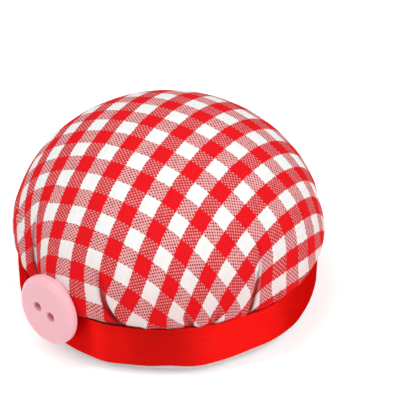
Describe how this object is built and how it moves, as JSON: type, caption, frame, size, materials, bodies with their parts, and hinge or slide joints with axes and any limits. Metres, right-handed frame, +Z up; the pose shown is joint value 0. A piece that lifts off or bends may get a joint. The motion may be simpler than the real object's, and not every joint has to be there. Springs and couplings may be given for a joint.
{
  "type": "wrist pincushion",
  "caption": "Wrist pincushion: a stuffed gingham dome gathered on a card base, trimmed with satin ribbon and a button, with an elastic strap under a felt backing.",
  "frame": {"origin": "on the table, under the middle of the dome, at the underside of the wrist strap", "axes": "+Z up through the crown; the picture looks along +Y from the front and +X is to its right, along the strap"},
  "size_m": [0.0652, 0.0652, 0.0417],
  "materials": {
    "elastic": "matte",
    "felt": "matte",
    "thread": "matte",
    "card": "matte",
    "fibre": "matte",
    "gingham": "matte",
    "satin": "satin",
    "button": "gloss",
    "glue": "satin"
  },
  "bodies": {
    "strap": {"wrist_strap": "elastic"},
    "cushion": {"strap_end_left": "elastic", "strap_end_right": "elastic", "felt_backing": "felt", "gathering_thread": "thread", "base_card": "card", "stuffing": "fibre", "gingham_cover": "gingham", "satin_ribbon": "satin", "button": "button", "glue_dab": "glue"}
  },
  "joints": [
    {"name": "strap_stretch", "type": "slide", "parent": "strap", "child": "cushion", "axis": [0, 0, 1], "range_m": [0, 0.038], "stiffness_N_per_m": 40}
  ]
}
